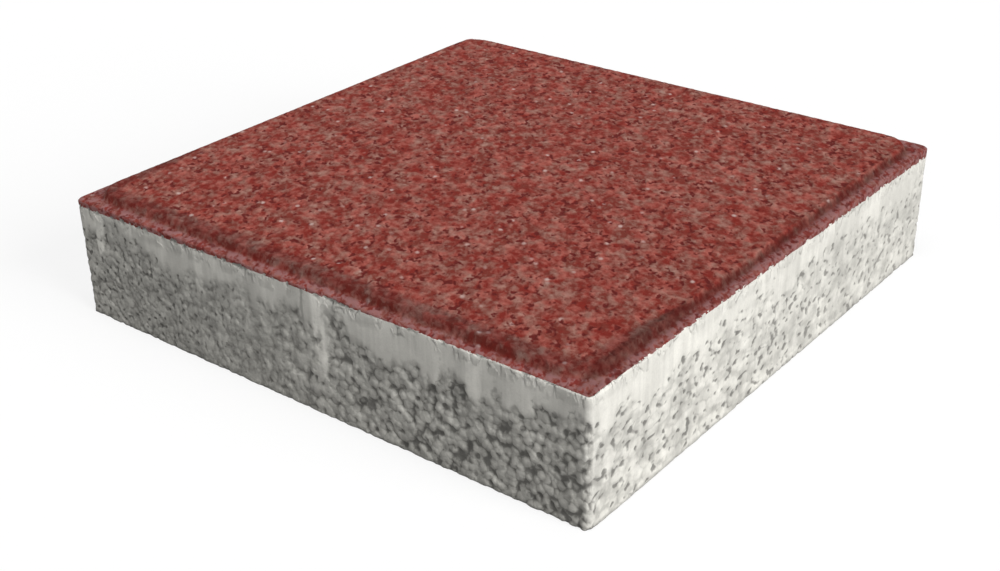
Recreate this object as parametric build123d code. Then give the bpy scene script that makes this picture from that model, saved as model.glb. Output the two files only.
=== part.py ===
from build123d import *
import os

# Concrete paving stone, pressed in one piece: a square slab with rounded upright corners.
# The press leaves its face raised inside a steep bevel. A narrow lip slopes from the bevel out to the sides.
# The face's corners are rounder than the slab's, so the lip widens at each corner.
# Millimetres, +Z up. The origin is the middle of the underside, and +X and +Y are square to the sides.

# Overall
width = 300.0
depth = 300.0
thickness = 65.0

# Upright corners, in plan
corner_radius = 3.0

# Raised face and the bevel round it
face_corner_radius = 13.0
bevel_run = 2.5
bevel_drop = 3.2
face_edge_radius = 1.5

# Lip from the bevel's foot out to the sides
lip_run = 5.0
lip_drop = 0.8
arris_radius = 1.5


def outline(inset, height, radius):
    """The slab's outline at one height, drawn in from the sides, with its corners rounded."""
    return Pos(Z=height) * RectangleRounded(width - 2 * inset, depth - 2 * inset, radius)


def pressed_slab(bevel_foot, side_top):
    """The slab as it leaves the mould: upright sides, the lip, then the bevel up to the face."""
    sides = extrude(outline(0, 0, corner_radius), amount=side_top)
    lip_edge = outline(0, side_top, corner_radius)
    foot = outline(lip_run, bevel_foot, face_corner_radius + bevel_run)
    face = outline(lip_run + bevel_run, thickness, face_corner_radius)
    return sides + loft([lip_edge, foot], ruled=True) + loft([foot, face], ruled=True)


def edges_at(solid, height):
    """The edges that lie at one height."""
    return solid.edges().filter_by_position(Axis.Z, height, height)


def paving_stone():
    """The slab with the edge of its face and the edge above its sides worn round."""
    bevel_foot = thickness - bevel_drop
    side_top = bevel_foot - lip_drop
    slab = pressed_slab(bevel_foot, side_top)
    slab = fillet(edges_at(slab, side_top), arris_radius)
    return fillet(edges_at(slab, thickness), face_edge_radius)


stone = paving_stone()
stone.label = "paving_stone"
os.makedirs("parts", exist_ok=True)
export_step(stone, "parts/paving_stone.step")
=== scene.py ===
"""Concrete paving stone: a grey coarse-grained body with a red fine-grained face pressed on top of it.

The skin of the stone is a grid laid over the slab. A node tree presses the grain, the hollows and the drag
marks into it, always inwards, and the finish reads the place that each point had in the mould.
"""
import math

import bmesh
import bpy
import numpy as np
from bpy.props import FloatProperty, FloatVectorProperty, IntProperty, PointerProperty
from mathutils import Euler, Matrix, Vector


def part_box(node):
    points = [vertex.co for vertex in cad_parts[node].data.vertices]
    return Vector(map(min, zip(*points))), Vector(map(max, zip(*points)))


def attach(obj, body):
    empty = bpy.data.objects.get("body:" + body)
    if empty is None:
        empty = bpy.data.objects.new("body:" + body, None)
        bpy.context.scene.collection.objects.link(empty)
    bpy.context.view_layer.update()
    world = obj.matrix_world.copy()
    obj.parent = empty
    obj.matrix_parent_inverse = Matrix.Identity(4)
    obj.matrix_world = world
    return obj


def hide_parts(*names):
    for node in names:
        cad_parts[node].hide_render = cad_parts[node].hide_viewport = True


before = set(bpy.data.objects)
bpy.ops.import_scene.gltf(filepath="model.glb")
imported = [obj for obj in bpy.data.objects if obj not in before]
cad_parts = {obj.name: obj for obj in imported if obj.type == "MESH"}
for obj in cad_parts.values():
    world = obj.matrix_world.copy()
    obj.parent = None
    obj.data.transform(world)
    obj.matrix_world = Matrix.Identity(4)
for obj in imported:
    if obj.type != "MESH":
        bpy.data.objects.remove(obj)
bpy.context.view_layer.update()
STONE_LOW, STONE_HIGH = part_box("paving_stone")

bl_info = {
    "name": "Paving Stone",
    "version": (1, 0, 0),
    "blender": (4, 5, 0),
    "location": "View3D > Sidebar > Paving",
    "description": "Presses a two-layer concrete paving stone and sets it in a plain studio",
    "category": "Add Mesh",
}

MM = 0.001
MOULD_PLACE = "mould_place"

# Patterns: sizes are in millimetres, and a span is a step's start and end, then its low and high
SEED_STEP = (11.3, 7.7, 5.9)
NOISE_MEAN = 0.5
NOISE_SPAN = (0.3, 0.7)
PIT_DETAIL = 0.6
SMOOTH_DETAIL = 1.0
PLAIN_DETAIL = 2.0
RICH_DETAIL = 3.0
PLAIN_CRISPNESS = 0.5
GRAIN_CRISPNESS = 0.6
STREAK_CRISPNESS = 0.65

# Red face
FACE_GRAIN = 2.2
FACE_DUST = 1.2
FLECK_SIZE = 2.6
FLECK_SINK_SPAN = (0.66, 0.34, 0.0, 0.7)
PATCH_SIZE = 7.0
FLECK_TONE = 2.0
PATCH_TONE = 1.5
GRAIN_TONE = 0.35
TONE_LEVEL = -1.61
HUE_SIZE = 5.0
HUE_SHIFT = (0.0, 80.0, 0.0)
FACE_PIT_SIZE = 3.0
FACE_PIT_SHIFT = (40.0, 0.0, 0.0)
FACE_PIT_SPAN = (0.43, 0.31)
GRIT_SPACING = 5.0
GRIT_CHANCE = (17.3, 9.1)
GRIT_CHANCE_SPAN = (0.70, 1.05)
GRIT_EDGE_SPAN = (0.30, 0.06)
STRUCK_WAY = (-0.62, 0.785, 0.0)
STRUCK_SHARE = 0.25

# Lip and bevel: steps are measured from the bevel's foot, or from its top where they are ends
LIP_WANDER_SIZE = 9.0
LIP_WANDER = 2.4
LIP_STEPS = (0.5, -1.5)
LIP_PIT_STEP = 1.0
LIP_PIT_SHARE = 0.8
SMEAR_SIZE = 2.6
SMEAR_SPAN = (0.4, 0.6, 0.1, 0.95)
BEVEL_START = 2.1
BEVEL_FULL_STEP = 1.8
BEVEL_FRONT_SHARES = (-0.4, -0.8)
BEVEL_FADED_ENDS = (1.0, 9.0)
BEVEL_DENSE_ENDS = (-2.0, 4.5)
BEVEL_PIT_SPAN = (0.2, 0.9, 1.0, 0.35)
GRIMY_DEPTHS = (11.5, 8.0)
GRIMY_SHARE = 0.3

# Grains, gaps and pits of the grey body
COARSE_SHARE = 1.2
FINE_SHARE = 0.8
BEND_SHARE = 0.7
COVER_SHARE = 0.30
CROWN_SPAN = (0.80, 0.22)
HOLLOW_SPAN = (0.60, 0.90)
FLATTENING = (1.0, 0.75, 1.0)
LUMP_SIZE = 4.2
LUMP_SPAN = (0.61, 0.37)
LUMP_SHARE = 0.45
PIT_SIZE = 3.9
SMALL_PIT_SIZE = 2.8
PIT_SPAN = (0.56, 0.72)
PIT_SHUT_SPAN = (0.3, 1.0)
PIT_SHUT_SHARE = 0.16
CROWN_PIT_SPAN = (0.9, 0.4, 0.45, 1.0)
NEAR_SHARES = (0.2, 1.4)
FRONT_DEPTHS = (4.0, 1.0)
FAR_GAP_SHARE = 0.75
FAR_HOLLOW_SHARE = 0.6
HOLLOW_SHARES = (0.35, 0.95)
SIDE_OPEN_SHARE = 0.35

# Cement paste on the sides; each run has its place along the front, its half width and its low end
PASTE_DRAW = (1.0, 1.0, 0.25)
PASTE_WANDER_SIZE = 22.0
PASTE_FADE = 7.0
PASTE_PATCH_SIZE = 10.0
PASTE_PATCH_SPAN = (0.58, 0.34, -0.3, 0.4)
NEAR_PASTE_DROP = 2.0
NEAR_OPEN_SHARES = (0.8, 1.9)
NEAR_OPEN_SPAN = (0.9, 0.3)
NEAR_OPENING = -0.25
PASTE_RUNS = ((-135.0, 4.0, 28.0), (-65.0, 4.0, 34.0), (10.0, 7.0, 14.0), (94.0, 4.5, 30.0))
RUN_DRAW = (1.0, 1.0, 0.3)
RUN_BEND_SIZE = 7.0
RUN_BEND = 10.0
RUN_BREAK_SIZE = 6.0
RUN_BREAK_SPAN = (0.32, 0.52, 0.5, 1.0)
RUN_CORE_SHARE = 0.2
RUN_FADE = 14.0
RUN_END_SHARE = 0.3
RUN_CLOSING_SHARE = 0.7
DRAG_DRAW = (1.0, 1.0, 0.03)
DRAG_MARK_SIZE = 5.0
SCRATCH_ALONG = 0.5
SCRATCH_LOW = 42.0
SCRATCH_FADE = 5.0
SCRATCH_BEND_SIZE = 8.0
SCRATCH_BEND = 3.0
SCRATCH_SPAN = (1.2, 0.3)

# Layer line with its chips and crumbs
RAGGED_SIZE = 2.4
RAGGED_REACH = 1.4
ROLLING_SIZE = 22.0
ROLLING_REACH = 1.0
LINE_LIFT_SPAN = (0.4, 1.6, 0.0, 4.0)
RELIEF_LINE_FADE = 0.4
COLOUR_LINE_FADE = 0.15
CHIP_SIZE = 3.2
CHIP_SPAN = (0.52, 0.66)
CHIP_REACH_SPAN = (2.2, 0.3)
CHIP_LIFT = 1.2
NICK_SHARE = 0.55
CRUMB_DRAW = (1.0, 1.0, 0.5)
CRUMB_SIZE = 5.0
CRUMB_SPAN = (0.47, 0.56)
LEDGE_TOP_SPAN = (0.25, -0.9)
LEDGE_FOOT_SPAN = (-7.0, -1.2)

# Relief pressed into the skin, and the bump that the finish adds to it
FOOT_RELIEF_SPAN = (0.0, 4.0, 0.7, 1.0)
UNDERSIDE_SPAN = (-0.95, -0.9)
STEEP_FACE_SPAN = (0.65, 0.98, 0.15, 1.0)
DRAG_MARK_DEPTH = 0.1
SCRATCH_DEPTH_SHARE = 0.4
FACE_BUMP = 0.18
GAP_BUMP = 0.7
DUST_BUMP = 0.2
LEDGE_BUMP = 1.6
BUMP_STRENGTH = 0.8
BUMP_DEPTH = 0.7 * MM

# Light and dark of the grey body, painted shade included, and how rough and shiny the two mixes are
BODY_DUST = 0.9
DUST_SPAN = (0.25, 0.75, 0.95, 1.04)
STREAK_LIGHT = (0.90, 1.05)
STAIN_SIZE = 16.0
STAIN_LIGHT = (0.88, 1.04)
GAP_TONE = 0.7
GRAIN_SHADES = 0.24
# Painted shade in the open grain of the body, full on the front side and a little less on the others
SIDE_SHADE_SHARE = 0.6
OPEN_SHADE_LIGHT = 0.82
MOTTLE_SIZE = 6.0
MOTTLE_SPAN = (0.32, 0.62)
MOTTLE_DARK = (0.81, 0.86)
MOTTLE_PALE = 1.03
# Painted shade along the foot of the sides, where they meet the floor
FOOT_SHADE_SPAN = (0.0, 2.5, 0.8, 1.0)
FAR_LIGHT = 0.945
# Painted shade on the open grain of the front side, which turns a little lighter near the upright edge at its
# right
FRONT_SHADE_LIGHT = (0.90, 1.04)
RUN_LIGHT = 1.27
SCRATCH_TONE = 0.5
# How much of the hollows' dirt and painted shade the pits take: on the other sides from far to near, and on
# the front side
SIDE_PIT_TONES = (0.58, 0.75)
FRONT_PIT_TONE = 0.8
FACE_ROUGHNESS = (0.74, 0.92)
BODY_ROUGHNESS = (0.80, 0.95)
SHINE = 0.1

# Grid of the skin
WEAR_POINTS = 6
WELD_SHARE = 0.01

# Studio
WHITE = (1.0, 1.0, 1.0, 1.0)
FLOOR_PALE = (0.42, 0.42, 0.42)
FLOOR_WHITE = (0.92, 0.92, 0.92)
FLOOR_GLOW = 0.75
FLOOR_CELLS = 8
SIDE_LAMP_WAY = (0.927, 0.0, 0.375)
SIDE_LAMP_SPREAD = math.radians(35.0)
TOP_LAMP_WAY = (0.05, -0.18, 0.98)
TOP_LAMP_SPREAD = math.radians(40.0)
LAMP_DISTANCE = 2.0
SENSOR_WIDTH = 36.0


class StoneShape(bpy.types.PropertyGroup):
    """Sizes of the slab and of the relief in its skin."""

    width: FloatProperty(
        name="Width", description="Length of each side in plan", unit="LENGTH",
        default=STONE_HIGH.x - STONE_LOW.x)
    thickness: FloatProperty(
        name="Thickness", description="Height from the underside to the face", unit="LENGTH",
        default=STONE_HIGH.z - STONE_LOW.z)
    corner_radius: FloatProperty(
        name="Corner Radius", description="Radius of the upright corners", unit="LENGTH", default=3 * MM)
    face_corner_radius: FloatProperty(
        name="Face Corner Radius", description="Radius of the raised face's corners", unit="LENGTH",
        default=13 * MM)
    lip_run: FloatProperty(
        name="Lip Run", description="Width of the lip outside the bevel", unit="LENGTH", default=5 * MM)
    lip_drop: FloatProperty(
        name="Lip Drop", description="Fall of the lip out to the sides", unit="LENGTH", default=0.8 * MM)
    bevel_run: FloatProperty(
        name="Bevel Run", description="Width of the bevel round the face", unit="LENGTH", default=2.5 * MM)
    bevel_drop: FloatProperty(
        name="Bevel Drop", description="Height of the bevel", unit="LENGTH", default=3.2 * MM)
    arris_radius: FloatProperty(
        name="Arris Radius", description="Wear of the edge above the sides", unit="LENGTH", default=1.5 * MM)
    face_edge_radius: FloatProperty(
        name="Face Edge Radius", description="Wear of the edge of the face", unit="LENGTH", default=1.5 * MM)
    skin_step: FloatProperty(
        name="Skin Step", description="Spacing of the grid that the relief is pressed into", unit="LENGTH",
        default=0.9 * MM)
    skin_triangles: IntProperty(
        name="Skin Triangles", description="Triangles left when the flat stretches are thinned",
        default=192000)
    grain_size: FloatProperty(
        name="Grain Size", description="Size of the body's coarse grains", unit="LENGTH", default=3.2 * MM)
    joint_depth: FloatProperty(
        name="Joint Depth", description="Depth of the joints between the body's grains", unit="LENGTH",
        default=0.75 * MM)
    hollow_depth: FloatProperty(
        name="Hollow Depth", description="Depth of the open hollows in the body", unit="LENGTH",
        default=0.5 * MM)
    paste_low: FloatProperty(
        name="Paste Limit", description="Height above which the sides are closed by cement paste",
        unit="LENGTH", default=47 * MM)
    paste_swing: FloatProperty(
        name="Paste Swing", description="How far the paste's limit wanders up and down", unit="LENGTH",
        default=22 * MM)
    layer_line: FloatProperty(
        name="Layer Line", description="Mean height at which the red face begins", unit="LENGTH",
        default=56.8 * MM)
    layer_slope: FloatVectorProperty(
        name="Layer Slope", description="Rise of the layer line to the right and to the back", size=2,
        default=(0.0124, -0.0178))
    chip_depth: FloatProperty(
        name="Chip Depth", description="Depth of the chips along the layer line", unit="LENGTH",
        default=0.7 * MM)
    face_relief: FloatProperty(
        name="Face Relief", description="Depth of the red face's grain", unit="LENGTH", default=0.32 * MM)
    seed: IntProperty(
        name="Seed", description="Shifts the grain, the hollows and the chips", default=3)


class StoneFinish(bpy.types.PropertyGroup):
    """Colours of the two mixes."""

    face_deep: FloatVectorProperty(
        name="Deep Red", description="Pits in the face", subtype="COLOR", default=(0.105, 0.012, 0.010))
    face_red: FloatVectorProperty(
        name="Red", description="Dark red grains of the face", subtype="COLOR", default=(0.162, 0.023, 0.016))
    face_rose: FloatVectorProperty(
        name="Rose", description="Pale, dull grains of the face", subtype="COLOR",
        default=(0.345, 0.142, 0.112))
    face_warm: FloatVectorProperty(
        name="Warm Tint", description="Tint of the face where it is reddest", subtype="COLOR",
        default=(1.06, 0.76, 0.75), soft_max=2.0)
    face_dull: FloatVectorProperty(
        name="Dull Tint", description="Tint of the face where it is greyest", subtype="COLOR",
        default=(0.94, 1.25, 1.27), soft_max=2.0)
    face_speck: FloatVectorProperty(
        name="Speck", description="Whitish specks in the face", subtype="COLOR", default=(0.50, 0.36, 0.33))
    lip_mauve: FloatVectorProperty(
        name="Lip", description="Cement-rich mauve of the lip", subtype="COLOR",
        default=(0.262, 0.122, 0.119))
    bevel_shade: FloatVectorProperty(
        name="Bevel", description="Tint of the dense, dark bevel", subtype="COLOR",
        default=(0.65, 0.66, 0.69))
    bevel_grime: FloatVectorProperty(
        name="Bevel Grime", description="Tint of the bevel along the right side, which is grimier",
        subtype="COLOR", default=(0.34, 0.32, 0.32))
    paste_grey: FloatVectorProperty(
        name="Paste", description="Cement paste of the body", subtype="COLOR", default=(0.665, 0.650, 0.600))
    grain_grey: FloatVectorProperty(
        name="Grain", description="Darker grains of the body", subtype="COLOR",
        default=(0.360, 0.350, 0.320))
    # Dirt and painted shade at the bottom of the body's hollows, in its pits and in the chips on the front
    # side
    hollow_dirt_and_shade: FloatVectorProperty(
        name="Hollow", description="Bottom of the body's hollows", subtype="COLOR",
        default=(0.090, 0.087, 0.080))


class StudioSettings(bpy.types.PropertyGroup):
    """Camera, lamps and floor."""

    azimuth: FloatProperty(
        name="Azimuth", description="Direction of the view round the stone", subtype="ANGLE",
        default=math.radians(38.437))
    elevation: FloatProperty(
        name="Elevation", description="Height of the view above level", subtype="ANGLE",
        default=math.radians(27.718))
    roll: FloatProperty(
        name="Roll", description="Turn of the camera about its own line of sight", subtype="ANGLE",
        default=math.radians(-0.891))
    eye: FloatVectorProperty(
        name="Eye", description="Place of the camera", subtype="TRANSLATION",
        default=(407.88 * MM, -527.21 * MM, 347.85 * MM))
    lens: FloatProperty(
        name="Lens", description="Focal length on a sensor 36 mm wide", default=52.86)
    side_lamp: FloatProperty(
        name="Side Lamp", description="Light that the side lamp gives a surface facing it", default=1.05)
    top_lamp: FloatProperty(
        name="Top Lamp", description="Light that the top lamp gives a surface facing it", default=0.50)
    room_light: FloatProperty(
        name="Room Light", description="Even light from all round", default=0.22)
    floor_size: FloatProperty(
        name="Floor Size", description="Length of the floor's sides", unit="LENGTH", default=12.0)


class Wiring:
    """Adds nodes to one tree and joins their sockets."""

    def __init__(self, tree):
        self.tree = tree

    def feed(self, socket, value):
        """Joins a socket to another one, or sets the value that it holds."""
        if isinstance(value, bpy.types.NodeSocket):
            self.tree.links.new(value, socket)
        else:
            socket.default_value = value

    def add(self, kind, inputs=None, **settings):
        """A new node with its settings made and its inputs fed."""
        node = self.tree.nodes.new(kind)
        for name, value in settings.items():
            setattr(node, name, value)
        for key, value in (inputs or {}).items():
            self.feed(node.inputs[key], value)
        return node

    def math(self, operation, *values):
        return self.add("ShaderNodeMath", dict(enumerate(values)), operation=operation).outputs[0]

    def vector(self, operation, *values):
        return self.add("ShaderNodeVectorMath", dict(enumerate(values)), operation=operation).outputs[0]

    def measure(self, operation, *vectors):
        """A number worked out from vectors."""
        node = self.add("ShaderNodeVectorMath", dict(enumerate(vectors)), operation=operation)
        return node.outputs["Value"]

    def scaled(self, vector, factor):
        return self.add("ShaderNodeVectorMath", {0: vector, "Scale": factor}, operation="SCALE").outputs[0]

    def times(self, value, factor):
        """A plain number is multiplied at once, a socket by a node."""
        if isinstance(value, bpy.types.NodeSocket):
            return self.math("MULTIPLY", value, factor)
        return value * factor

    def product(self, first, *others):
        """Values multiplied in their order."""
        for other in others:
            first = self.math("MULTIPLY", first, other)
        return first

    def split(self, vector):
        return self.add("ShaderNodeSeparateXYZ", {0: vector}).outputs

    def ramp(self, value, start, end, low=0.0, high=1.0):
        """A smooth step from low at start to high at end, which may run either way."""
        inputs = {"Value": value, "From Min": start, "From Max": end, "To Min": low, "To Max": high}
        return self.add("ShaderNodeMapRange", inputs, interpolation_type="SMOOTHSTEP").outputs[0]

    def between(self, share, low, high):
        """A smooth step from low where a share is nothing to high where it is one."""
        return self.ramp(share, 0.0, 1.0, low, high)

    def less(self, share):
        """What a share leaves: a smooth step from one where it is nothing to nothing where it is one."""
        return self.ramp(share, 1.0, 0.0)

    def mix(self, share, first, second):
        return self.add("ShaderNodeMix", {0: share, 2: first, 3: second}, data_type="FLOAT").outputs[0]

    def blend(self, share, first, second, blend_type="MIX"):
        inputs = {0: share, 6: colour(first), 7: colour(second)}
        return self.add("ShaderNodeMix", inputs, data_type="RGBA", blend_type=blend_type).outputs[2]

    def grey(self, value):
        """A value as a colour."""
        return self.add("ShaderNodeCombineXYZ", {0: value, 1: value, 2: value}).outputs[0]

    def noise(self, place, size, detail=PLAIN_DETAIL, crispness=PLAIN_CRISPNESS):
        """Noise whose lumps are about so large; its outputs are a value and a colour."""
        inputs = {"Vector": self.shrunk(place, size), "Scale": 1.0, "Detail": detail, "Roughness": crispness}
        return self.add("ShaderNodeTexNoise", inputs).outputs

    def wander(self, place, size, reach, detail=PLAIN_DETAIL):
        """Noise that swings about nothing, over so wide a reach."""
        return self.math("MULTIPLY_ADD", self.noise(place, size, detail)[0], reach, -reach / 2)

    def cells(self, place, size):
        """Cells of about one size; the outputs hold the distance first and each cell's own colour next."""
        return self.add("ShaderNodeTexVoronoi", {"Vector": self.shrunk(place, size), "Scale": 1.0}).outputs

    def shrunk(self, place, size):
        """Places in units of a size."""
        if isinstance(size, bpy.types.NodeSocket):
            return self.scaled(place, self.math("DIVIDE", 1.0, size))
        return self.scaled(place, 1.0 / size)


def colour(value):
    """A colour with its alpha, where it has none yet."""
    if isinstance(value, bpy.types.NodeSocket) or len(value) == len(WHITE):
        return value
    return (*value, 1.0)


def seed_shift(seed):
    """A shift in millimetres that moves the patterns to another stretch of noise."""
    return tuple(step * seed for step in SEED_STEP)


def shares_of(length, shares):
    """Several shares of one length."""
    return [length * share for share in shares]


def towards_near(wires, place):
    """How far a place lies towards the upright edge at the front right."""
    x, y, _ = wires.split(place)
    return wires.math("SUBTRACT", x, y)


def near_share(wires, place, half):
    """One near the upright edge at the front right, and nothing near the two edges beside it."""
    return wires.ramp(towards_near(wires, place), *shares_of(half, NEAR_SHARES))


def front_share(wires, place, half):
    """One on the front side of the stone, and else nothing."""
    return wires.ramp(wires.split(place)[1], *(depth - half for depth in FRONT_DEPTHS))


def flattened(wires, shifted):
    """Places for the body's grains, which are a little longer than high on the left and right sides."""
    return wires.vector("MULTIPLY", shifted, FLATTENING)


def struck(wires, shifted):
    """Places for the face's flecks, which lie a little long in the way that the face was struck off."""
    along = wires.measure("DOT_PRODUCT", shifted, STRUCK_WAY)
    return wires.vector("ADD", shifted, wires.scaled(STRUCK_WAY, wires.times(along, -STRUCK_SHARE)))


def grain_bed(wires, place, size, closed):
    """Grains of one size: their crown, the hollows between them and a shade of each grain's own.

    Where the skin is closed, only the widest hollows are left.
    """
    bend = wires.vector("SUBTRACT", wires.noise(place, size)[1], (NOISE_MEAN,) * 3)
    bent = wires.vector("ADD", place, wires.scaled(bend, wires.times(size, BEND_SHARE)))
    distance, own = wires.cells(bent, size)[:2]
    away = wires.math("SUBTRACT", distance, wires.times(closed, COVER_SHARE))
    return {
        "crown": wires.ramp(away, *CROWN_SPAN),
        "hollow": wires.ramp(away, *HOLLOW_SPAN),
        "shade": wires.split(own)[0],
    }


def body_bed(wires, place, laid, size, closed, half):
    """Grains of the body, which grow from fine to coarse towards the upright edge at the front right."""
    coarse = grain_bed(wires, laid, wires.times(size, COARSE_SHARE), closed)
    fine = grain_bed(wires, laid, wires.times(size, FINE_SHARE), closed)
    near = near_share(wires, place, half)
    return {name: wires.mix(near, fine[name], coarse[name]) for name in fine}


def face_flecks(wires, place):
    """Uneven flecks of the red face: low in the dark ones, high in the pale ones."""
    return wires.noise(place, FLECK_SIZE, crispness=GRAIN_CRISPNESS)[0]


def face_pits(wires, place):
    """Small open pits of the red face, which lie apart from its flecks."""
    apart = wires.vector("ADD", place, FACE_PIT_SHIFT)
    return wires.ramp(wires.noise(apart, FACE_PIT_SIZE, SMOOTH_DETAIL)[0], *FACE_PIT_SPAN)


def face_sunk(wires, place):
    """How deep the skin of the red face lies: least on its pale flecks, most in its pits."""
    between_flecks = wires.ramp(face_flecks(wires, place), *FLECK_SINK_SPAN)
    return wires.math("ADD", between_flecks, face_pits(wires, place))


def face_specks(wires, place):
    """Whitish specks scattered over the red face."""
    distance, own = wires.cells(place, GRIT_SPACING)[:2]
    first, second, _ = wires.split(own)
    mixed = wires.math("MULTIPLY_ADD", first, GRIT_CHANCE[0], wires.times(second, GRIT_CHANCE[1]))
    chance = wires.ramp(wires.math("FRACT", mixed), *GRIT_CHANCE_SPAN)
    return wires.product(chance, wires.ramp(distance, *GRIT_EDGE_SPAN))


def body_lumps(wires, place):
    """Uneven lumps of the open body: nothing on their tops, one in the gaps."""
    return wires.ramp(wires.noise(place, LUMP_SIZE, RICH_DETAIL, GRAIN_CRISPNESS)[0], *LUMP_SPAN)


def paste_runs(wires, place, half):
    """Pale runs of paste that hang down the front side."""
    x, _, z = wires.split(place)
    bend = wires.noise(wires.vector("MULTIPLY", place, RUN_DRAW), RUN_BEND_SIZE)[0]
    bent = wires.math("MULTIPLY_ADD", bend, RUN_BEND, wires.math("SUBTRACT", x, RUN_BEND / 2))
    broken = wires.ramp(wires.noise(place, RUN_BREAK_SIZE)[0], *RUN_BREAK_SPAN)
    runs = 0.0
    for along, reach, low in PASTE_RUNS:
        across = wires.math("ABSOLUTE", wires.math("SUBTRACT", bent, along))
        hanging = wires.ramp(z, low, low + RUN_FADE, RUN_END_SHARE)
        run = wires.product(wires.ramp(across, reach, reach * RUN_CORE_SHARE), hanging)
        runs = wires.math("MAXIMUM", runs, run)
    return wires.product(runs, broken, front_share(wires, place, half))


def scratch(wires, place, half):
    """One dark upright scratch in the paste of the front side."""
    x, _, z = wires.split(place)
    bend = wires.noise(place, SCRATCH_BEND_SIZE)[0]
    beside = wires.math("SUBTRACT", x, SCRATCH_ALONG + SCRATCH_BEND / 2)
    across = wires.math("ABSOLUTE", wires.math("MULTIPLY_ADD", bend, SCRATCH_BEND, beside))
    drawn = wires.ramp(z, SCRATCH_LOW, SCRATCH_LOW + SCRATCH_FADE)
    return wires.product(wires.ramp(across, *SCRATCH_SPAN), drawn, front_share(wires, place, half))


def closed_share(wires, place, paste_low, paste_swing, half):
    """How closed the body's skin is: wholly in the paste near the top of the sides, little or not below it.

    It is most open near the upright edge at the front right.
    """
    drawn = wires.vector("MULTIPLY", place, PASTE_DRAW)
    wander = wires.noise(drawn, PASTE_WANDER_SIZE, RICH_DETAIL, GRAIN_CRISPNESS)[0]
    wander = wires.math("SUBTRACT", wander, NOISE_MEAN)
    limit = wires.math("MULTIPLY_ADD", wander, wires.times(paste_swing, 1 / NOISE_MEAN), paste_low)
    limit = wires.math("MULTIPLY_ADD", near_share(wires, place, half), -NEAR_PASTE_DROP, limit)
    above = wires.math("SUBTRACT", wires.split(place)[2], limit)
    patches = wires.ramp(wires.noise(place, PASTE_PATCH_SIZE)[0], *PASTE_PATCH_SPAN)
    closed = wires.math("MAXIMUM", wires.ramp(above, -PASTE_FADE, PASTE_FADE), patches)
    runs = wires.times(paste_runs(wires, place, half), RUN_CLOSING_SHARE)
    closed = wires.math("MAXIMUM", closed, runs)
    reach = shares_of(half, NEAR_OPEN_SHARES)
    opening = wires.ramp(towards_near(wires, place), *reach, 0.0, NEAR_OPENING)
    return wires.math("MULTIPLY_ADD", opening, wires.ramp(closed, *NEAR_OPEN_SPAN), closed)


def open_share(wires, place, closed, half):
    """How far the joints between the body's grains stand open: less on the other sides than on the front."""
    front = front_share(wires, place, half)
    return wires.product(wires.less(closed), wires.between(front, SIDE_OPEN_SHARE, 1.0))


def pit_share(wires, laid, closed, large):
    """Open pits, small or large, and fewer where the skin is closed."""
    small, wide = (wires.noise(laid, size, PIT_DETAIL)[0] for size in (SMALL_PIT_SIZE, PIT_SIZE))
    shut = wires.ramp(closed, *PIT_SHUT_SPAN)
    lumps = wires.math("MULTIPLY_ADD", shut, -PIT_SHUT_SHARE, wires.mix(large, small, wide))
    return wires.ramp(lumps, *PIT_SPAN)


def body_gaps(wires, place, laid, crown, half):
    """Gaps between the grains, shallower away from the upright edge at the front right."""
    gaps = wires.mix(LUMP_SHARE, wires.math("SUBTRACT", 1.0, crown), body_lumps(wires, laid))
    return wires.product(gaps, wires.between(near_share(wires, place, half), FAR_GAP_SHARE, 1.0))


def body_pits(wires, place, laid, bed, closed, half):
    """Hollows between the grains and pits in them, largest on the front side near the edge at its right."""
    near, front = near_share(wires, place, half), front_share(wires, place, half)
    spread = wires.product(wires.between(front, *HOLLOW_SHARES), wires.between(near, FAR_HOLLOW_SHARE, 1.0))
    large = wires.product(near, front)
    off_crowns = wires.mix(large, 1.0, wires.ramp(bed["crown"], *CROWN_PIT_SPAN))
    pits = wires.product(pit_share(wires, laid, closed, large), off_crowns)
    return wires.math("MAXIMUM", wires.product(bed["hollow"], spread), pits)


def drag_marks(wires, place):
    """Upright streaks that the mould left in the paste as the stone was pushed out."""
    drawn = wires.vector("MULTIPLY", place, DRAG_DRAW)
    return wires.noise(drawn, DRAG_MARK_SIZE, RICH_DETAIL, STREAK_CRISPNESS)[0]


def from_side(wires, place, half, radius):
    """Distance in from the sides, as far as the radius to which their corners are rounded."""
    core = half - radius
    span = wires.vector("SUBTRACT", wires.vector("ABSOLUTE", place), (core, core, 0.0))
    over = wires.vector("MULTIPLY", wires.vector("MAXIMUM", span, (0.0, 0.0, 0.0)), (1.0, 1.0, 0.0))
    return wires.math("SUBTRACT", radius, wires.measure("LENGTH", over))


def above_line(wires, place, shifted, layer_line, shape):
    """Height above the ragged, sloping line at which the red face begins, which stays on the sides."""
    x, y, height = wires.split(place)
    ragged = wires.wander(shifted, RAGGED_SIZE, RAGGED_REACH, RICH_DETAIL)
    rolling = wires.wander(shifted, ROLLING_SIZE, ROLLING_REACH)
    right, back = shape.layer_slope
    line = wires.math("MULTIPLY_ADD", x, right, wires.math("MULTIPLY_ADD", y, back, layer_line))
    above = wires.math("ADD", wires.math("SUBTRACT", height, line), wires.math("ADD", ragged, rolling))
    inset = from_side(wires, place, shape.width / 2 / MM, shape.corner_radius / MM)
    return wires.math("ADD", above, wires.ramp(inset, *LINE_LIFT_SPAN))


def chip_share(wires, shifted, above):
    """Small chips along the layer line."""
    reach = wires.ramp(wires.math("ABSOLUTE", above), *CHIP_REACH_SPAN)
    return wires.product(reach, wires.ramp(wires.noise(shifted, CHIP_SIZE)[0], *CHIP_SPAN))


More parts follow.
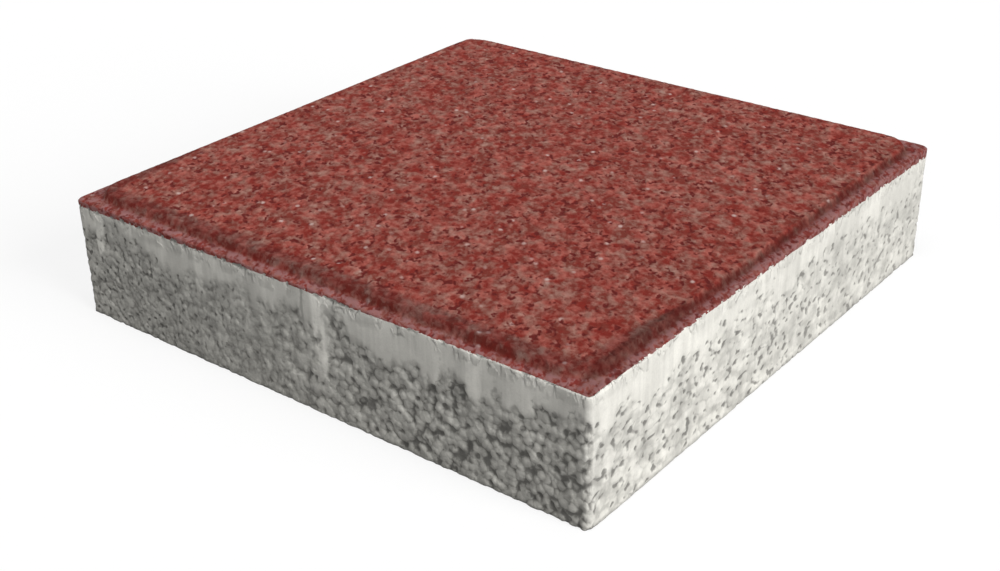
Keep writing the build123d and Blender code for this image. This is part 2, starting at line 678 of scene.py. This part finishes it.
def crumb_share(wires, shifted):
    """Stretches of the layer line where the paste stands proud of the red face."""
    drawn = wires.vector("MULTIPLY", shifted, CRUMB_DRAW)
    return wires.ramp(wires.noise(drawn, CRUMB_SIZE)[0], *CRUMB_SPAN)


RELIEF_INPUTS = {
    "Grain Size": "grain_size", "Joint Depth": "joint_depth", "Hollow Depth": "hollow_depth",
    "Paste Limit": "paste_low", "Paste Swing": "paste_swing", "Layer Line": "layer_line",
    "Chip Depth": "chip_depth", "Face Relief": "face_relief",
}


def relief_tree(shape):
    """Presses the relief into a plain skin, inwards only. Its sizes are in millimetres."""
    tree = bpy.data.node_groups.new("pressed_relief", "GeometryNodeTree")
    tree.interface.new_socket("Skin", in_out="INPUT", socket_type="NodeSocketGeometry")
    for name in RELIEF_INPUTS:
        tree.interface.new_socket(name, in_out="INPUT", socket_type="NodeSocketFloat")
    tree.interface.new_socket("Finish", in_out="INPUT", socket_type="NodeSocketMaterial")
    tree.interface.new_socket("Skin", in_out="OUTPUT", socket_type="NodeSocketGeometry")
    wires = Wiring(tree)
    given = wires.add("NodeGroupInput").outputs
    place = wires.scaled(wires.add("GeometryNodeInputPosition").outputs[0], 1.0 / MM)
    shifted = wires.vector("ADD", place, seed_shift(shape.seed))
    normal = wires.add("GeometryNodeInputNormal").outputs[0]
    upward = wires.split(normal)[2]

    half = shape.width / 2 / MM
    closed = closed_share(wires, place, given["Paste Limit"], given["Paste Swing"], half)
    laid = flattened(wires, shifted)
    bed = body_bed(wires, place, laid, given["Grain Size"], closed, half)
    gaps = body_gaps(wires, place, laid, bed["crown"], half)
    joints = wires.product(given["Joint Depth"], gaps, open_share(wires, place, closed, half))
    hollows = body_pits(wires, place, laid, bed, closed, half)
    line = wires.times(scratch(wires, place, half), SCRATCH_DEPTH_SHARE)
    hollows = wires.math("MAXIMUM", hollows, line)
    grain = wires.math("MULTIPLY_ADD", given["Hollow Depth"], hollows, joints)
    grain = wires.product(grain, wires.ramp(wires.split(place)[2], *FOOT_RELIEF_SPAN))
    body = wires.math("MULTIPLY_ADD", drag_marks(wires, shifted), DRAG_MARK_DEPTH, grain)
    body = wires.product(body, wires.ramp(upward, *UNDERSIDE_SPAN))

    sunk = face_sunk(wires, struck(wires, shifted))
    face = wires.product(given["Face Relief"], sunk, wires.ramp(upward, *STEEP_FACE_SPAN))

    above = above_line(wires, place, shifted, given["Layer Line"], shape)
    depth = wires.mix(wires.ramp(above, -RELIEF_LINE_FADE, RELIEF_LINE_FADE), body, face)
    chips = wires.product(given["Chip Depth"], chip_share(wires, shifted, above))
    depth = wires.math("ADD", depth, chips)

    marked = wires.add("GeometryNodeStoreNamedAttribute", {
        "Geometry": given["Skin"], "Name": MOULD_PLACE, "Value": place}, data_type="FLOAT_VECTOR").outputs[0]
    push = wires.scaled(normal, wires.times(depth, -MM))
    pressed = wires.add("GeometryNodeSetPosition", {"Geometry": marked, "Offset": push}).outputs[0]
    whole = wires.add("GeometryNodeRealizeInstances", {"Geometry": pressed}).outputs[0]
    coated = wires.add("GeometryNodeSetMaterial", {"Geometry": whole, "Material": given["Finish"]}).outputs[0]
    wires.add("NodeGroupOutput", {"Skin": coated})
    return tree


def rounded(x, y, half, radius):
    """Points of a square of that half width, with its corners drawn in to a radius."""
    core = half - radius
    over_x, over_y = np.maximum(np.abs(x) - core, 0.0), np.maximum(np.abs(y) - core, 0.0)
    reach, length = np.maximum(over_x, over_y), np.hypot(over_x, over_y)
    pull = np.divide(reach, length, out=np.ones_like(length), where=length > 0.0)
    return (np.sign(x) * (np.minimum(np.abs(x), core) + over_x * pull),
            np.sign(y) * (np.minimum(np.abs(y), core) + over_y * pull))


def worn_profile(shape):
    """The slab's section from its lower edge up to the face: rows of inset and height."""
    foot = shape.thickness - shape.bevel_drop
    inner = shape.lip_run + shape.bevel_run
    corners = [
        ((0.0, 0.0), 0.0),
        ((0.0, foot - shape.lip_drop), shape.arris_radius),
        ((shape.lip_run, foot), 0.0),
        ((inner, shape.thickness), shape.face_edge_radius),
        ((inner + shape.face_edge_radius, shape.thickness), 0.0),
    ]
    path = [np.array(corners[0][0])]
    for (before, _), (corner, radius), (after, _) in zip(corners, corners[1:], corners[2:]):
        back, ahead = np.subtract(before, corner), np.subtract(after, corner)
        back, ahead = back / np.linalg.norm(back), ahead / np.linalg.norm(ahead)
        set_back = radius * math.tan((math.pi - math.acos(float(back @ ahead))) / 2)
        start, end = corner + back * set_back, corner + ahead * set_back
        steps = np.linspace(0.0, 1.0, WEAR_POINTS if radius else 1)[:, None]
        path.extend((1 - steps) ** 2 * start + 2 * steps * (1 - steps) * corner + steps ** 2 * end)
    path.append(np.array(corners[-1][0]))
    rows = [path[0]]
    for point in path[1:]:
        parts = max(1, math.ceil(np.linalg.norm(point - rows[-1]) / shape.skin_step))
        rows.extend(np.linspace(rows[-1], point, parts + 1)[1:])
    return np.array(rows)


def grid_faces(rows, columns, first):
    """Quads over a grid of points that is numbered row by row."""
    index = first + np.arange(rows * columns).reshape(rows, columns)
    return np.stack([index[:-1, :-1], index[:-1, 1:], index[1:, 1:], index[1:, :-1]], -1).reshape(-1, 4)


def plain_skin(shape):
    """The slab's closed skin without relief: four sides up to the face, the face and the underside."""
    half = shape.width / 2
    lines = np.linspace(-1.0, 1.0, math.ceil(shape.width / shape.skin_step) + 1)
    profile = worn_profile(shape)
    inner = shape.lip_run + shape.bevel_run
    radii = np.interp(profile[:, 0], [0.0, shape.lip_run, inner], [
        shape.corner_radius, shape.face_corner_radius + shape.bevel_run, shape.face_corner_radius])

    def level(inset, height, radius, across, along):
        x, y = rounded(across * (half - inset), along * (half - inset), half - inset, radius)
        return np.stack([x, y, np.full_like(x, height)], -1)

    side = np.stack([level(inset, height, radius, np.ones_like(lines), lines)
                     for (inset, height), radius in zip(profile, radii)])
    across, along = np.meshgrid(lines, lines)
    face = level(*profile[-1], radii[-1], across, along)
    underside = level(*profile[0], radii[0], across, along)[:, ::-1]
    turns = [np.array(Matrix.Rotation(math.radians(90 * turn), 3, "Z")) for turn in range(4)]
    patches = [side @ turn.T for turn in turns] + [face, underside]

    points, quads, first = [], [], 0
    for patch in patches:
        points.append(patch.reshape(-1, 3))
        quads.append(grid_faces(patch.shape[0], patch.shape[1], first))
        first += patch.shape[0] * patch.shape[1]
    mesh = bpy.data.meshes.new("plain_skin")
    mesh.from_pydata(np.concatenate(points).tolist(), [], np.concatenate(quads).tolist())
    bm = bmesh.new()
    bm.from_mesh(mesh)
    bmesh.ops.remove_doubles(bm, verts=bm.verts, dist=shape.skin_step * WELD_SHARE)
    bmesh.ops.recalc_face_normals(bm, faces=bm.faces)
    bm.to_mesh(mesh)
    bm.free()
    return mesh


def mix_tree(name):
    """An empty node group for one mix, which reads places and puts out colour, roughness and fine relief."""
    tree = bpy.data.node_groups.new(name, "ShaderNodeTree")
    for socket in ("Place", "Shifted"):
        tree.interface.new_socket(socket, in_out="INPUT", socket_type="NodeSocketVector")
    for socket, kind in (("Color", "Color"), ("Roughness", "Float"), ("Relief", "Float")):
        tree.interface.new_socket(socket, in_out="OUTPUT", socket_type="NodeSocket" + kind)
    wires = Wiring(tree)
    given = wires.add("NodeGroupInput").outputs
    return tree, wires, given["Place"], given["Shifted"]


def face_mix(shape, finish):
    """Red face: fine grains of several reds, dark pits and whitish specks, a mauve lip and a dark bevel."""
    tree, wires, place, shifted = mix_tree("face_mix")
    drawn = struck(wires, shifted)
    own = wires.split(wires.cells(drawn, FACE_GRAIN)[1])[1]
    dust = wires.noise(drawn, FACE_DUST, crispness=GRAIN_CRISPNESS)[0]
    patches = wires.noise(drawn, PATCH_SIZE, SMOOTH_DETAIL)[0]
    tone = wires.math("MULTIPLY_ADD", patches, PATCH_TONE, TONE_LEVEL)
    tone = wires.math("MULTIPLY_ADD", face_flecks(wires, drawn), FLECK_TONE, tone)
    tone = wires.math("MULTIPLY_ADD", own, GRAIN_TONE, tone)
    mixed = wires.blend(tone, finish.face_red, finish.face_rose)
    hue = wires.noise(wires.vector("ADD", drawn, HUE_SHIFT), HUE_SIZE, SMOOTH_DETAIL)[0]
    hue = wires.blend(wires.ramp(hue, *NOISE_SPAN), finish.face_warm, finish.face_dull)
    mixed = wires.blend(1.0, mixed, hue, "MULTIPLY")
    mixed = wires.blend(face_specks(wires, drawn), mixed, finish.face_speck)

    half = shape.width / 2 / MM
    foot = shape.lip_run / MM
    raised = (shape.lip_run + shape.bevel_run) / MM
    inset = from_side(wires, place, half, shape.face_corner_radius / MM + raised)
    inset = wires.math("ADD", inset, wires.wander(shifted, LIP_WANDER_SIZE, LIP_WANDER, RICH_DETAIL))
    smears = wires.noise(drawn, SMEAR_SIZE, crispness=GRAIN_CRISPNESS)[0]
    smeared = wires.blend(wires.ramp(smears, *SMEAR_SPAN), mixed, finish.lip_mauve)
    mixed = wires.blend(wires.ramp(inset, *(foot + step for step in LIP_STEPS)), mixed, smeared)

    x, y, _ = wires.split(place)
    front = shares_of(half, BEVEL_FRONT_SHARES)
    faded, dense = (wires.ramp(y, *front, *(raised + end for end in ends))
                    for ends in (BEVEL_FADED_ENDS, BEVEL_DENSE_ENDS))
    grimy = wires.ramp(x, *(half - depth for depth in GRIMY_DEPTHS))
    outer = wires.ramp(wires.math("ADD", grimy, inset), BEVEL_START, foot + BEVEL_FULL_STEP)
    on_bevel = wires.product(outer, wires.ramp(inset, faded, dense))
    on_bevel = wires.math("MAXIMUM", on_bevel, wires.times(grimy, GRIMY_SHARE))
    on_lip = wires.ramp(inset, foot - LIP_PIT_STEP, foot + LIP_PIT_STEP, LIP_PIT_SHARE)
    pits = wires.product(face_pits(wires, drawn), wires.ramp(on_bevel, *BEVEL_PIT_SPAN), on_lip)
    mixed = wires.blend(pits, mixed, finish.face_deep)
    tint = wires.blend(grimy, finish.bevel_shade, finish.bevel_grime)
    mixed = wires.blend(on_bevel, mixed, tint, "MULTIPLY")

    relief = wires.math("MULTIPLY_ADD", face_sunk(wires, drawn), -FACE_BUMP, wires.times(dust, DUST_BUMP))
    roughness = wires.ramp(dust, *NOISE_SPAN, *FACE_ROUGHNESS)
    wires.add("NodeGroupOutput", {"Color": mixed, "Roughness": roughness, "Relief": relief})
    return tree


def body_mix(shape, finish):
    """Grey body: pale paste with drag marks, grains with dark hollows below it, and painted shade in the open
    grain, the pits and along the foot.
    """
    tree, wires, place, shifted = mix_tree("body_mix")
    half = shape.width / 2 / MM
    front, near = front_share(wires, place, half), near_share(wires, place, half)
    closed = closed_share(wires, place, shape.paste_low / MM, shape.paste_swing / MM, half)
    laid = flattened(wires, shifted)
    bed = body_bed(wires, place, laid, shape.grain_size / MM, closed, half)
    open_grain = open_share(wires, place, closed, half)
    sunk = wires.product(body_gaps(wires, place, laid, bed["crown"], half), open_grain)
    mixed = wires.blend(wires.times(sunk, GAP_TONE), finish.paste_grey, finish.grain_grey)

    streaks = wires.ramp(drag_marks(wires, shifted), *NOISE_SPAN, *STREAK_LIGHT)
    stains = wires.ramp(wires.noise(shifted, STAIN_SIZE, RICH_DETAIL)[0], *NOISE_SPAN, *STAIN_LIGHT)
    dust = wires.noise(shifted, BODY_DUST, RICH_DETAIL, GRAIN_CRISPNESS)[0]
    shades = wires.product(wires.math("SUBTRACT", bed["shade"], NOISE_MEAN), open_grain)
    shades = wires.math("MULTIPLY_ADD", shades, GRAIN_SHADES, 1.0)
    # Painted shade in the open grain, a little less on the other sides than on the front
    open_grain_shade = wires.product(open_grain, wires.between(front, SIDE_SHADE_SHARE, 1.0))
    mottles = wires.noise(laid, MOTTLE_SIZE, SMOOTH_DETAIL)[0]
    mottles = wires.ramp(mottles, *MOTTLE_SPAN, wires.mix(front, *MOTTLE_DARK), MOTTLE_PALE)
    # Painted shade on the front side's open grain, lighter near the upright edge at its right
    shaded_front_grain = wires.product(open_grain, front)
    light = wires.product(
        streaks,
        stains,
        wires.ramp(dust, *DUST_SPAN),
        shades,
        wires.between(open_grain_shade, 1.0, OPEN_SHADE_LIGHT),
        wires.mix(wires.less(closed), 1.0, mottles),
        # Painted shade along the foot
        wires.ramp(wires.split(place)[2], *FOOT_SHADE_SPAN),
        wires.between(near, FAR_LIGHT, 1.0),
        wires.mix(shaded_front_grain, 1.0, wires.between(near, *FRONT_SHADE_LIGHT)),
        wires.between(paste_runs(wires, place, half), 1.0, RUN_LIGHT),
    )
    mixed = wires.blend(1.0, mixed, wires.grey(light), "MULTIPLY")
    # Pits and the scratch take the hollows' dirt and painted shade, most on the front side, which lies in
    # shade
    pits = body_pits(wires, place, laid, bed, closed, half)
    pits = wires.math("MAXIMUM", pits, wires.times(scratch(wires, place, half), SCRATCH_TONE))
    pit_dirt_and_shade = wires.mix(front, wires.between(near, *SIDE_PIT_TONES), FRONT_PIT_TONE)
    mixed = wires.blend(wires.product(pits, pit_dirt_and_shade), mixed, finish.hollow_dirt_and_shade)

    relief = wires.math("MULTIPLY_ADD", sunk, -GAP_BUMP, wires.times(dust, DUST_BUMP))
    roughness = wires.ramp(dust, *NOISE_SPAN, *BODY_ROUGHNESS)
    wires.add("NodeGroupOutput", {"Color": mixed, "Roughness": roughness, "Relief": relief})
    return tree


def pressed_concrete(shape, finish):
    """Finish of the whole stone: the body's mix with the face's mix above the layer line."""
    material = bpy.data.materials.new("pressed_concrete")
    material.use_nodes = True
    material.node_tree.nodes.clear()
    wires = Wiring(material.node_tree)
    place = wires.add("ShaderNodeAttribute", attribute_name=MOULD_PLACE).outputs["Vector"]
    shifted = wires.vector("ADD", place, seed_shift(shape.seed))
    face, body = (
        wires.add("ShaderNodeGroup", node_tree=mix(shape, finish)) for mix in (face_mix, body_mix))
    for mix in (face, body):
        wires.feed(mix.inputs["Place"], place)
        wires.feed(mix.inputs["Shifted"], shifted)

    above = above_line(wires, place, shifted, shape.layer_line / MM, shape)
    chips = chip_share(wires, shifted, above)
    above = wires.math("MULTIPLY_ADD", chips, -CHIP_LIFT, above)
    on_face = wires.ramp(above, -COLOUR_LINE_FADE, COLOUR_LINE_FADE)
    ledge = wires.product(wires.ramp(above, *LEDGE_TOP_SPAN), wires.ramp(above, *LEDGE_FOOT_SPAN))
    ledge = wires.product(ledge, crumb_share(wires, shifted))

    front = front_share(wires, place, shape.width / 2 / MM)
    # Nicks: chips on the front side, darkened with the hollows' dirt and painted shade
    nicks = wires.product(wires.times(chips, NICK_SHARE), front)
    paste = wires.blend(nicks, body.outputs["Color"], finish.hollow_dirt_and_shade)
    tint = wires.blend(on_face, paste, face.outputs["Color"])
    roughness = wires.mix(on_face, body.outputs["Roughness"], face.outputs["Roughness"])
    relief = wires.mix(on_face, body.outputs["Relief"], face.outputs["Relief"])
    relief = wires.math("MULTIPLY_ADD", ledge, LEDGE_BUMP, relief)
    bump = wires.add("ShaderNodeBump", {
        "Height": relief, "Strength": BUMP_STRENGTH, "Distance": BUMP_DEPTH})
    shader = wires.add("ShaderNodeBsdfPrincipled", {
        "Base Color": tint, "Roughness": roughness, "Specular IOR Level": SHINE, "Normal": bump.outputs[0]})
    wires.add("ShaderNodeOutputMaterial", {"Surface": shader.outputs[0]})
    return material


class PAVING_OT_press_stone(bpy.types.Operator):
    """Press the stone: lay its skin, push the relief into it and give it the finish of its two mixes"""

    bl_idname = "paving.press_stone"
    bl_label = "Press Stone"

    def execute(self, context):
        shape, finish = context.scene.stone_shape, context.scene.stone_finish
        stone = bpy.data.objects.new("pressed_stone", plain_skin(shape))
        context.scene.collection.objects.link(stone)
        tree = relief_tree(shape)
        relief = stone.modifiers.new("relief", "NODES")
        relief.node_group = tree
        sockets = {item.name: item.identifier for item in tree.interface.items_tree if item.in_out == "INPUT"}
        for name, size in RELIEF_INPUTS.items():
            relief[sockets[name]] = getattr(shape, size) / MM
        relief[sockets["Finish"]] = pressed_concrete(shape, finish)
        triangles = 2 * len(stone.data.polygons)
        thinning = stone.modifiers.new("thinning", "DECIMATE")
        thinning.ratio = shape.skin_triangles / triangles
        thinning.use_collapse_triangulate = True
        evaluated = stone.evaluated_get(context.evaluated_depsgraph_get())
        pressed = bpy.data.meshes.new_from_object(evaluated)
        stone.modifiers.clear()
        skin, stone.data = stone.data, pressed
        bpy.data.meshes.remove(skin)
        pressed.shade_smooth()
        if not pressed.polygons:
            raise RuntimeError("the pressed skin has no faces")
        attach(stone, "root")
        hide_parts("paving_stone")
        return {"FINISHED"}


def seen_share(wires):
    """One where the camera looks, straight or by a reflection or through glass, and else nothing."""
    path = wires.add("ShaderNodeLightPath").outputs
    mirrored = wires.math("MAXIMUM", path["Is Glossy Ray"], path["Is Transmission Ray"])
    return wires.math("MAXIMUM", path["Is Camera Ray"], mirrored)


def studio_white():
    """Floor: pale for the light that it gives back, white where it is looked at, with its shadow kept."""
    material = bpy.data.materials.new("studio_white")
    material.use_nodes = True
    material.node_tree.nodes.clear()
    wires = Wiring(material.node_tree)
    seen = seen_share(wires)
    matt = wires.add("ShaderNodeBsdfDiffuse", {"Color": wires.blend(seen, FLOOR_PALE, FLOOR_WHITE)})
    glow = wires.add("ShaderNodeEmission", {"Color": WHITE, "Strength": 1.0})
    mixed = wires.add("ShaderNodeMixShader", {
        0: wires.times(seen, FLOOR_GLOW), 1: matt.outputs[0], 2: glow.outputs[0]})
    wires.add("ShaderNodeOutputMaterial", {"Surface": mixed.outputs[0]})
    return material


class PAVING_OT_set_studio(bpy.types.Operator):
    """Set the studio: a pale floor, two soft lamps, even room light and the camera"""

    bl_idname = "paving.set_studio"
    bl_label = "Set Studio"

    def execute(self, context):
        studio = context.scene.studio_settings
        self.lay_floor(context, studio)
        self.hang_lamp(context, "side_lamp", SIDE_LAMP_WAY, studio.side_lamp, SIDE_LAMP_SPREAD)
        self.hang_lamp(context, "top_lamp", TOP_LAMP_WAY, studio.top_lamp, TOP_LAMP_SPREAD)
        self.light_room(context, studio)
        self.place_camera(context, studio)
        context.scene.view_settings.view_transform = "Standard"
        return {"FINISHED"}

    def lay_floor(self, context, studio):
        """A wide floor under the stone."""
        bm = bmesh.new()
        bmesh.ops.create_grid(
            bm, x_segments=FLOOR_CELLS, y_segments=FLOOR_CELLS, size=studio.floor_size / 2)
        mesh = bpy.data.meshes.new("floor")
        bm.to_mesh(mesh)
        bm.free()
        mesh.materials.append(studio_white())
        floor = bpy.data.objects.new("floor", mesh)
        context.scene.collection.objects.link(floor)

    def hang_lamp(self, context, name, towards, level, spread):
        """A far soft lamp; its level is what it gives a white surface that faces it."""
        lamp = bpy.data.lights.new(name, "SUN")
        lamp.energy = level * math.pi
        lamp.angle = spread
        holder = bpy.data.objects.new(name, lamp)
        holder.location = Vector(towards).normalized() * LAMP_DISTANCE
        holder.rotation_euler = Vector(towards).to_track_quat("Z", "Y").to_euler()
        context.scene.collection.objects.link(holder)

    def light_room(self, context, studio):
        """Even room light, which shows as white where it is looked at."""
        world = bpy.data.worlds.new("room")
        world.use_nodes = True
        world.node_tree.nodes.clear()
        wires = Wiring(world.node_tree)
        strength = wires.mix(seen_share(wires), studio.room_light, 1.0)
        light = wires.add("ShaderNodeBackground", {"Color": WHITE, "Strength": strength})
        wires.add("ShaderNodeOutputWorld", {"Surface": light.outputs[0]})
        context.scene.world = world

    def place_camera(self, context, studio):
        """The camera at its eye point, turned by azimuth, elevation and roll."""
        camera = bpy.data.cameras.new("camera")
        camera.sensor_width = SENSOR_WIDTH
        camera.lens = studio.lens
        holder = bpy.data.objects.new("camera", camera)
        aim = Euler((math.pi / 2 - studio.elevation, 0.0, studio.azimuth)).to_matrix()
        holder.rotation_euler = (aim @ Matrix.Rotation(studio.roll, 3, "Z")).to_euler()
        holder.location = studio.eye
        context.scene.collection.objects.link(holder)
        context.scene.camera = holder


class PAVING_PT_sidebar(bpy.types.Panel):
    """Lists the paving stone's sizes and colours and the studio's settings"""

    bl_idname = "PAVING_PT_sidebar"
    bl_label = "Paving Stone"
    bl_space_type = "VIEW_3D"
    bl_region_type = "UI"
    bl_category = "Paving"

    def draw(self, context):
        groups = (
            (PAVING_OT_press_stone, (context.scene.stone_shape, context.scene.stone_finish)),
            (PAVING_OT_set_studio, (context.scene.studio_settings,)),
        )
        for operator, settings in groups:
            self.layout.operator(operator.bl_idname)
            for group in settings:
                for name in group.__annotations__:
                    self.layout.prop(group, name)


CLASSES = (
    StoneShape, StoneFinish, StudioSettings, PAVING_OT_press_stone, PAVING_OT_set_studio, PAVING_PT_sidebar)
SETTINGS = {"stone_shape": StoneShape, "stone_finish": StoneFinish, "studio_settings": StudioSettings}


def register():
    for cls in CLASSES:
        bpy.utils.register_class(cls)
    for name, group in SETTINGS.items():
        setattr(bpy.types.Scene, name, PointerProperty(type=group))


def unregister():
    for name in SETTINGS:
        delattr(bpy.types.Scene, name)
    for cls in reversed(CLASSES):
        bpy.utils.unregister_class(cls)


def main():
    register()
    bpy.ops.paving.press_stone()
    bpy.ops.paving.set_studio()


if __name__ == "__main__":
    main()
